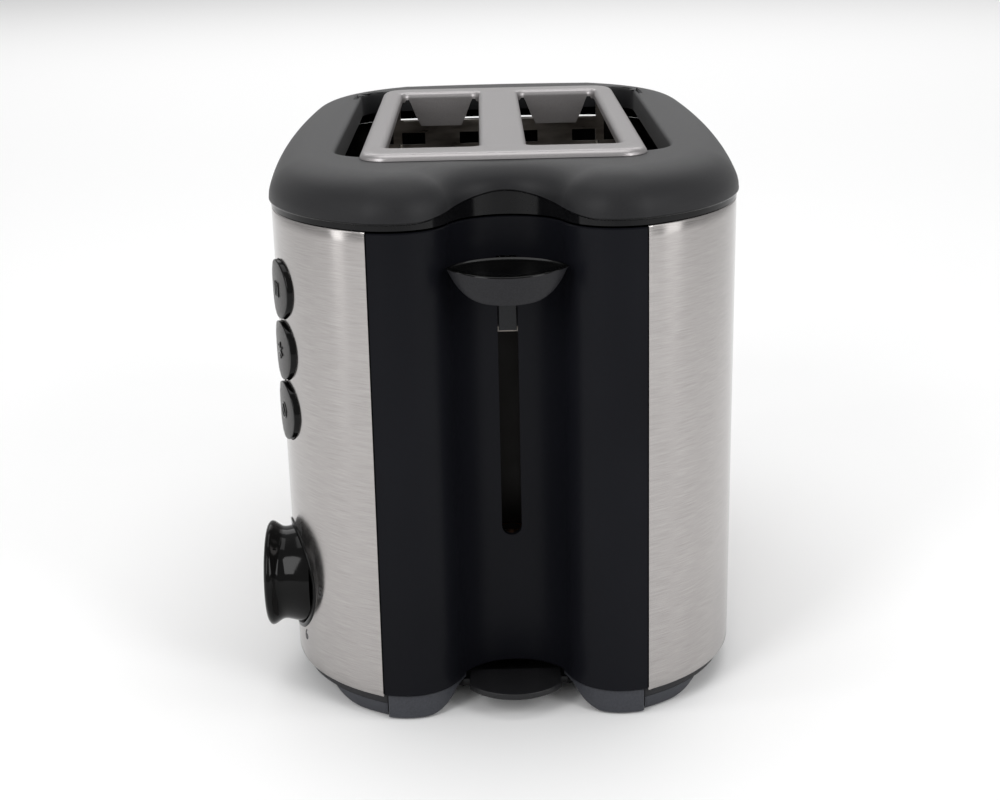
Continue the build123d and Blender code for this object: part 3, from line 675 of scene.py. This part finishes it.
def eased_directions(ring, reach=9.0, passes=2):
    """Outward directions averaged along the ring, so that wide offsets keep no crease."""
    count = len(ring)
    ways = [(u, v) for x, y, u, v in ring]
    for _ in range(passes):
        eased = []
        for k in range(count):
            total_u = total_v = 0.0
            for step in range(-14, 15):
                m = (k + step) % count
                gap = hypot(ring[m][0] - ring[k][0], ring[m][1] - ring[k][1])
                weight = max(0.0, 1 - gap / reach)
                total_u += ways[m][0] * weight
                total_v += ways[m][1] * weight
            size = hypot(total_u, total_v)
            eased.append((total_u / size, total_v / size))
        ways = eased
    return [(x, y, u, v) for (x, y, _, _), (u, v) in zip(ring, ways)]


def nearest_on_round_rect(x, y, middle_y, half_x, half_y, r):
    """Closest point on a rounded rectangle, seen from outside it."""
    dy = y - middle_y
    core_x = max(-half_x + r, min(half_x - r, x))
    core_y = max(-half_y + r, min(half_y - r, dy))
    away_x, away_y = x - core_x, dy - core_y
    span = hypot(away_x, away_y)
    return core_x + away_x / span * r, middle_y + core_y + away_y / span * r


LIP_Z = 177.0
LIP_RISE = 6.0
LIP_OUT = 0.8
CROWN_DEPTH = 19.0
CHANNEL_CROWN_LESS = 5.0           # the crown is shallower over the channel
CROWN_ROWS = 22
COLLAR_WALL = 1.6
GAP_LOW = 182.0                    # how far the opening's wall reaches down
OPENING = (60.0, -84.0, 102.0, 16.0)    # half width, front, rear and corner radius


def make_collar():
    """Crown from the lip line up to the opening, then down into the gap."""
    ring = full_outline(CORNER_R_HIGH)
    soft = eased_directions(ring)
    rows = []

    def row(pull, z_at, around=ring):
        """Add one ring, moved outwards and set to its height point by point."""
        rows.append([(x + u * pull(x, y), y + v * pull(x, y), z_at(x, y)) for x, y, u, v in around])

    def lip(x, y):
        """Height of the lip line."""
        return LIP_Z + LIP_RISE * lip_rise(x, y)

    row(lambda x, y: -1.6, lambda x, y: COLLAR_LOW)
    row(lambda x, y: 0.05, lambda x, y: COLLAR_LOW)
    row(lambda x, y: 0.05, lambda x, y: lip(x, y) - 0.8)
    row(lambda x, y: 0.5, lambda x, y: lip(x, y) - 0.65)
    row(lambda x, y: LIP_OUT, lambda x, y: lip(x, y) - 0.3)
    for step in range(CROWN_ROWS + 1):
        share = (step / CROWN_ROWS) ** 1.5
        rise = sqrt(max(0.0, 1 - (1 - share) ** 2.3))
        row(lambda x, y: LIP_OUT - (CROWN_DEPTH - CHANNEL_CROWN_LESS * lip_rise(x, y)) * share,
            lambda x, y: lip(x, y) + (COLLAR_HIGH - lip(x, y)) * rise, soft)
    half_x, y0, y1, r = OPENING
    middle_y, half_y = (y0 + y1) / 2, (y1 - y0) / 2
    crown = rows[-1]
    inner = [nearest_on_round_rect(x, y, middle_y, half_x, half_y, r) for x, y, z in crown]
    for share in (0.35, 0.7):
        rows.append([(p[0] + (q[0] - p[0]) * share, p[1] + (q[1] - p[1]) * share, COLLAR_HIGH)
                     for p, q in zip(crown, inner)])
    for pull, z in [(1.4, COLLAR_HIGH), (0.7, COLLAR_HIGH - 0.12), (0.2, COLLAR_HIGH - 0.5),
                    (0.0, COLLAR_HIGH - 1.3), (0.0, GAP_LOW)]:
        line = []
        for x, y in inner:
            core_x = max(-half_x + r, min(half_x - r, x))
            core_y = max(-half_y + r, min(half_y - r, y - middle_y)) + middle_y
            span = hypot(x - core_x, y - core_y)
            line.append((x + (x - core_x) / span * pull, y + (y - core_y) / span * pull, z))
        rows.append(line)
    collar = loft_rows("top_collar_moulded", rows)
    tidy_normals(collar)
    flip_if_inside(collar, Vector((0, 0, 1)))
    apply(collar, "SOLIDIFY", thickness=COLLAR_WALL * MM, offset=-1.0)
    smooth(collar, 42)
    collar.data.materials.append(FINISH["collar_black"])
    collar.data.materials.append(lip_gloss())
    for face in collar.data.polygons:
        x, y, z = face.center / MM
        outside = abs(x) > 62 or y < -98 or y > 104
        if outside and z < lip(x, y) + 0.1:
            face.material_index = 1
    stand_for(collar, "top_collar")


def round_rect(middle, half_x, half_y, r, grow=0.0, corner_steps=8, end_steps=12):
    """Closed ring of a rounded rectangle; its ends carry extra points."""
    found = []
    r_now = r + grow
    for quarter, (sx, sy) in enumerate([(1, -1), (1, 1), (-1, 1), (-1, -1)]):
        centre = (middle[0] + sx * (half_x - r), middle[1] + sy * (half_y - r))
        start = -pi / 2 + quarter * pi / 2
        found += [(x, y) for x, y, u, v in arc(centre, r_now, start, start + pi / 2, corner_steps)]
        if quarter in (1, 3):
            a = found[-1]
            far = middle[0] + (-sx) * (half_x - r)
            found += [(a[0] + (far - a[0]) * k / end_steps, a[1]) for k in range(1, end_steps)]
    return found


PLATE_EDGE_Z = 191.15
PLATE_CORNER_R = 10.0
PLATE_DROOP = 3.2
PLATE_SHEET = 0.8
SLOT_HALF_X, SLOT_HALF_Y, SLOT_R = 16.55, 77.25, 3.5
SLOT_MIDDLES = [(-24.95, -3.25), (24.95, -3.25)]
SLOT_ROLL = 2.2


def make_slot_plate():
    """Pressed plate: drooping outer edge, rolled slot edges, flanges and end tongues."""
    low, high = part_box("slot_plate")
    middle = ((low.x + high.x) / 2 / MM, (low.y + high.y) / 2 / MM)
    half_x, half_y = (high.x - low.x) / 2 / MM, (high.y - low.y) / 2 / MM
    rims = []
    rows = []
    for step in range(9):
        a = pi / 2 * step / 8
        grow = -PLATE_DROOP * (1 - cos(a))
        z = PLATE_EDGE_Z + (PLATE_HIGH - PLATE_EDGE_Z) * sin(a)
        rows.append([(x, y, z) for x, y in
                     round_rect(middle, half_x, half_y, PLATE_CORNER_R, grow)])
    rims.append(loft_rows("slot_plate_pressed", rows))
    for slot in SLOT_MIDDLES:
        base = round_rect(slot, SLOT_HALF_X, SLOT_HALF_Y, SLOT_R)
        rows = [[(x, y, flange_low(x - slot[0], y - slot[1])) for x, y in base]]
        rows.append([(x, y, PLATE_HIGH - SLOT_ROLL - 0.4) for x, y in base])
        for step in range(7):
            a = pi / 2 * step / 6
            grow = SLOT_ROLL * (1 - cos(a))
            z = PLATE_HIGH - SLOT_ROLL + SLOT_ROLL * sin(a)
            rows.append([(x, y, z) for x, y in
                         round_rect(slot, SLOT_HALF_X, SLOT_HALF_Y, SLOT_R, grow)])
        rims.append(loft_rows("slot_rim", rows))
    bpy.ops.object.select_all(action="DESELECT")
    for rim in rims:
        rim.select_set(True)
    plate = rims[0]
    bpy.context.view_layer.objects.active = plate
    bpy.ops.object.join()
    level = (PLATE_HIGH - 0.004) * MM
    flat = {k for k, vertex in enumerate(plate.data.vertices) if vertex.co.z > level}
    pick(plate, flat)
    edit(plate, ("fill", {"use_beauty": True}))
    tidy_normals(plate)
    flip_if_inside(plate, Vector((0, 0, 1)))
    apply(plate, "SOLIDIFY", thickness=PLATE_SHEET * MM, offset=-1.0)
    smooth(plate, 40)
    stand_for(plate, "slot_plate")

    for side in (-1, 1):
        rows = []
        x_out, x_in = side * 49.3, side * 48.4
        for z in (179.0, PLATE_EDGE_Z + 0.3):
            rows.append([(x_out, -80, z), (x_out, 82, z), (x_in, 82, z), (x_in, -80, z)])
        skirt = loft_rows("plate_skirt_" + ("left" if side < 0 else "right"), rows,
                          cap_first=True, cap_last=True)
        tidy_normals(skirt)
        add_to(skirt, "slot_plate", FINISH["zinc_steel"])


def flange_low(dx, dy):
    """Lower edge of a slot's rim: deep side flanges, a tapered tongue at each end."""
    if abs(dy) > SLOT_HALF_Y - 0.6:
        share = max(0.0, min(1.0, (13.6 - abs(dx)) / 4.4))
        return 190.4 - 11.4 * share
    if abs(dy) > SLOT_HALF_Y - 5:
        return 189.5
    return 181.0


def make_knob():
    """Lens-shaped thumb piece: thin bright rim round a polished dish, over a matte hull."""
    tip_x, tip_y, back_y, front_y = 20.4, -129.5, -117.4, -140.1
    steps = 26

    def bow(peak_y):
        """Arc in plan from one tip over the peak to the other."""
        sag = abs(peak_y - tip_y)
        r = (tip_x ** 2 + sag ** 2) / (2 * sag)
        way = 1 if peak_y > tip_y else -1
        centre_y = peak_y - way * r
        half = atan2(tip_x, r - sag)
        turns = [half - 2 * half * k / steps for k in range(steps + 1)]
        return [(-way * r * sin(t), centre_y + way * r * cos(t)) for t in turns]

    plan = bow(front_y)[:-1] + bow(back_y)[:-1]
    middle_y = (back_y + front_y) / 2

    def rim_z(y):
        """Height of the rim, which leans and dips towards the front."""
        dy = y - tip_y
        return 160.8 + 0.0985 * dy - 0.0034 * dy * dy

    def hull_z(x):
        """Height of the hull's keel, which rises towards the tips."""
        return 149.8 + 11.0 * (abs(x) / tip_x) ** 3.6

    def shrink(pull):
        """The plan drawn in by this much."""
        return [(x * (1 - pull / tip_x), middle_y + (y - middle_y) * (1 - pull / 11.4))
                for x, y in plan]

    rows = []
    for share in (0.0, 0.35, 0.7):
        rows.append([(x, middle_y + (y - middle_y) * share, min(hull_z(x), rim_z(y) - 0.45))
                     for x, y in shrink(1.4)])
    for pull, lift in [(1.4, 0.0), (0.75, 0.15), (0.45, 0.55)]:
        rows.append([(x, y, min(hull_z(x) + lift, rim_z(y) - 0.42)) for x, y in shrink(pull)])
    low = rows[-1]
    for share in (0.35, 0.7):
        rows.append([(p[0] + (x - p[0]) * share, p[1] + (y - p[1]) * share,
                      p[2] + (rim_z(y) - 0.4 - p[2]) * share) for p, (x, y) in zip(low, plan)])
    rows.append([(x, y, rim_z(y) - 0.4) for x, y in plan])
    hull = loft_rows("lever_knob_hull", rows)
    tidy_normals(hull)
    flip_if_inside(hull, Vector((0, 0, -1)))
    smooth(hull, 40)
    add_to(hull, "lever_knob", SKIRT)

    rows = [[(x, y, rim_z(y) - 0.4) for x, y in plan]]
    for pull, drop in [(0.06, 0.18), (0.22, 0.04), (0.42, 0.0), (0.7, 0.05), (0.95, 0.3)]:
        rows.append([(x, y, rim_z(y) - drop) for x, y in shrink(pull)])
    for share in (0.85, 0.68, 0.5, 0.32, 0.15, 0.01):
        deep = 0.35 + 1.7 * (1 - share ** 2)
        inner = [(x * share, middle_y + (y - middle_y) * share) for x, y in shrink(0.95)]
        rows.append([(x, y, rim_z(y) - deep) for x, y in inner])
    dish = loft_rows("lever_knob_dish", rows, cap_last=True)
    tidy_normals(dish)
    flip_if_inside(dish, Vector((0, 0, 1)))
    smooth(dish, 50)
    stand_for(dish, "lever_knob")


def face_the_side(piece, spot, lift=0.0, on=None):
    """Stand a flat shape, drawn upright in XY, against the -X surface at one place."""
    y, z = spot
    cast = on.ray_cast(Vector((-0.2, y * MM, z * MM)), Vector((1, 0, 0)))
    place, normal = cast[1:3]
    across = normal.cross(Vector((0, 0, 1))).normalized() * -1
    up = normal.cross(across).normalized()
    if up.z < 0:
        up.negate()
    across = up.cross(normal).normalized()
    turn = Matrix((across, up, normal)).transposed().to_4x4()
    piece.matrix_world = Matrix.Translation(place + normal * lift * MM) @ turn
    only(piece)
    bpy.ops.object.transform_apply(location=True, rotation=True, scale=True)


def bar(length, width, angle=0.0, at=(0, 0)):
    """Small raised bar with rounded edges, drawn flat."""
    bpy.ops.object.select_all(action="DESELECT")
    bpy.ops.mesh.primitive_cube_add(size=MM, location=(0, 0, 0))
    piece = bpy.context.object
    piece.scale = (width, length, 0.7)
    piece.rotation_euler = (0, 0, radians(angle))
    piece.location = (at[0] * MM, at[1] * MM, 0)
    bpy.ops.object.transform_apply(location=True, rotation=True, scale=True)
    apply(piece, "BEVEL", width=0.16 * MM, segments=2)
    return piece


def hoop(radius, thick):
    """Small raised ring, drawn flat."""
    bpy.ops.object.select_all(action="DESELECT")
    bpy.ops.mesh.primitive_torus_add(major_radius=radius * MM, minor_radius=thick * MM,
                                     major_segments=36, minor_segments=8)
    piece = bpy.context.object
    bpy.ops.transform.resize(value=(1, 1, 0.7))
    bpy.ops.object.transform_apply(location=True, rotation=True, scale=True)
    return piece


def merged(pieces, name):
    """Join several objects into one with this name."""
    bpy.ops.object.select_all(action="DESELECT")
    for piece in pieces:
        piece.select_set(True)
    bpy.context.view_layer.objects.active = pieces[0]
    bpy.ops.object.join()
    pieces[0].name = pieces[0].data.name = name
    return pieces[0]


def make_buttons():
    """Push buttons with polished sides, satin faces and one raised mark each."""
    marks = {
        "button_top": lambda: [bar(5.2, 0.8, at=(x, 0)) for x in (-2, 0, 2)],
        "button_middle": lambda: [bar(6, 0.8), bar(6, 0.8, 60), bar(6, 0.8, 120)],
        "button_lower": lambda: [hoop(2.7, 0.42), bar(4.8, 0.8, 45)],
    }
    for name in BUTTONS:
        cap = softened(name, 0.7, segments=4)
        cap.data.materials.clear()
        cap.data.materials.append(FINISH["gloss_black"])
        cap.data.materials.append(FINISH["button_black"])
        middle = centre_of(name)
        for face in cap.data.polygons:
            spot = face.center / MM
            inside = hypot(spot.y - middle.y, spot.z - middle.z) < BUTTON_R - 1.1
            face.material_index = 1 if inside and face.normal.x < -0.5 else 0
        mark = merged(marks[name](), name + "_mark")
        face_the_side(mark, (middle.y, middle.z), on=cap)
        smooth(mark, 40)
        add_to(mark, name, FINISH["gloss_black"])


NUMBER_R = 23.0
NUMBER_TURNS = (-62, -2, 58, 118, 178, 243)    # degrees, from number 1 to number 6


def make_numerals(steel):
    """Small printed numbers round the dial."""
    for number, turn in enumerate(NUMBER_TURNS, start=1):
        bpy.ops.object.select_all(action="DESELECT")
        bpy.ops.object.text_add(location=(0, 0, 0))
        text = bpy.context.object
        text.data.body = str(number)
        text.data.size = 5.8 * MM
        text.data.offset = 0.06 * MM
        text.data.align_x = "CENTER"
        text.data.align_y = "CENTER"
        text.data.extrude = 0.04 * MM
        bpy.ops.object.convert(target="MESH")
        digit = bpy.context.object
        digit.name = digit.data.name = "dial_number_" + str(number)
        a = radians(turn)
        spot = (DIAL.y + NUMBER_R * cos(a), DIAL.z + NUMBER_R * sin(a))
        face_the_side(digit, spot, lift=0.04, on=steel)
        add_to(digit, "steel_wrap_left", PRINT)


make_steel()
make_front_panel()
make_collar()
make_slot_plate()
softened("rear_panel", 0.5)
softened("cord_gland", 0.5)
softened("base_pan", 0.5)
softened("front_skirt", 0.9)
softened("rear_skirt", 0.9)
for corner in ("front_left", "front_right", "rear_left", "rear_right"):
    softened("corner_foot_" + corner, 0.4)
softened("crumb_tray", 0.3)
make_knob()
softened("lever_stem", 0.4)
softened("browning_knob", 0.0, angle=50)
softened("dial_ring", 0.3)
make_buttons()
make_numerals(bpy.data.objects["steel_wrap_left_brushed"])

for node, piece in frame["nodes"].items():
    piece.data.materials.clear()
    piece.data.materials.append(FINISH[SLOT_OF[node]])
# These sheets inside the body get the near-black painted shade in place of their zinc finish.
for node in ("chassis_plate_front", "mechanism_shelves"):
    frame["nodes"][node].data.materials[0] = burnt_sheet()


# ================================================================ floor, lights, camera
# Name, place and size in metres, and power in watts.
LAMPS = [
    ("key", (-0.85, -1.1, 0.85), (0.45, 1.0), 8.0),
    ("fill", (1.0, -1.0, 0.75), (0.45, 1.0), 7.0),
    ("strip_left", (-1.3, -0.4, 0.5), (0.2, 1.1), 1.6),
    ("strip_right", (1.3, -0.4, 0.5), (0.3, 1.1), 1.6),
    ("over", (0.0, 0.1, 1.6), (1.4, 1.0), 8.0),
    ("wash", (0.0, 2.2, 1.8), (3.0, 1.6), 26.0),
]
WASH_AIM = Vector((0, 2.2, 0))
AIM = Vector((0, 0, 0.1))
EYE = (-0.00698, -0.7001, 0.2882)
LENS = 63.97


def studio():
    """Plain pale floor, white world and soft lights."""
    bpy.ops.object.select_all(action="DESELECT")
    bpy.ops.mesh.primitive_plane_add(size=8.0, location=(0, 0, -0.0002))
    floor = bpy.context.object
    floor.name = "floor"
    paper = bpy.data.materials.new("paper")
    paper.use_nodes = True
    shader = paper.node_tree.nodes["Principled BSDF"]
    shader.inputs["Base Color"].default_value = (0.93, 0.93, 0.93, 1)
    shader.inputs["Roughness"].default_value = 0.9
    floor.data.materials.append(paper)

    world = bpy.data.worlds.new("room")
    world.use_nodes = True
    sky = world.node_tree.nodes["Background"]
    sky.inputs["Color"].default_value = (1.0, 1.0, 1.0, 1)
    sky.inputs["Strength"].default_value = 0.5
    bpy.context.scene.world = world

    for name, place, size, power in LAMPS:
        lamp = bpy.data.lights.new(name, "AREA")
        lamp.shape = "RECTANGLE"
        lamp.size, lamp.size_y = size
        lamp.energy = power
        thing = bpy.data.objects.new(name, lamp)
        thing.location = place
        aim = WASH_AIM if name == "wash" else AIM
        thing.rotation_euler = (aim - Vector(place)).to_track_quat("-Z", "Y").to_euler()
        bpy.context.scene.collection.objects.link(thing)
    bpy.context.scene.view_settings.view_transform = "Standard"


def camera():
    """Long lens from the lever end, looking down a little."""
    pitch, yaw, roll = radians(15.27), radians(0.40), radians(-1.28)
    ahead = Vector((sin(yaw) * cos(pitch), cos(yaw) * cos(pitch), -sin(pitch)))
    right = Vector((cos(yaw), -sin(yaw), 0))
    up = right.cross(ahead)
    side = cos(roll) * right + sin(roll) * up
    top = -sin(roll) * right + cos(roll) * up
    lens = bpy.data.cameras.new("camera")
    lens.lens = LENS
    lens.sensor_width = 36.0
    lens.shift_y = -0.05
    eye = bpy.data.objects.new("camera", lens)
    turn = Matrix((side, top, -ahead)).transposed()
    eye.matrix_world = Matrix.Translation(EYE) @ turn.to_4x4()
    bpy.context.scene.collection.objects.link(eye)
    bpy.context.scene.camera = eye


studio()
camera()
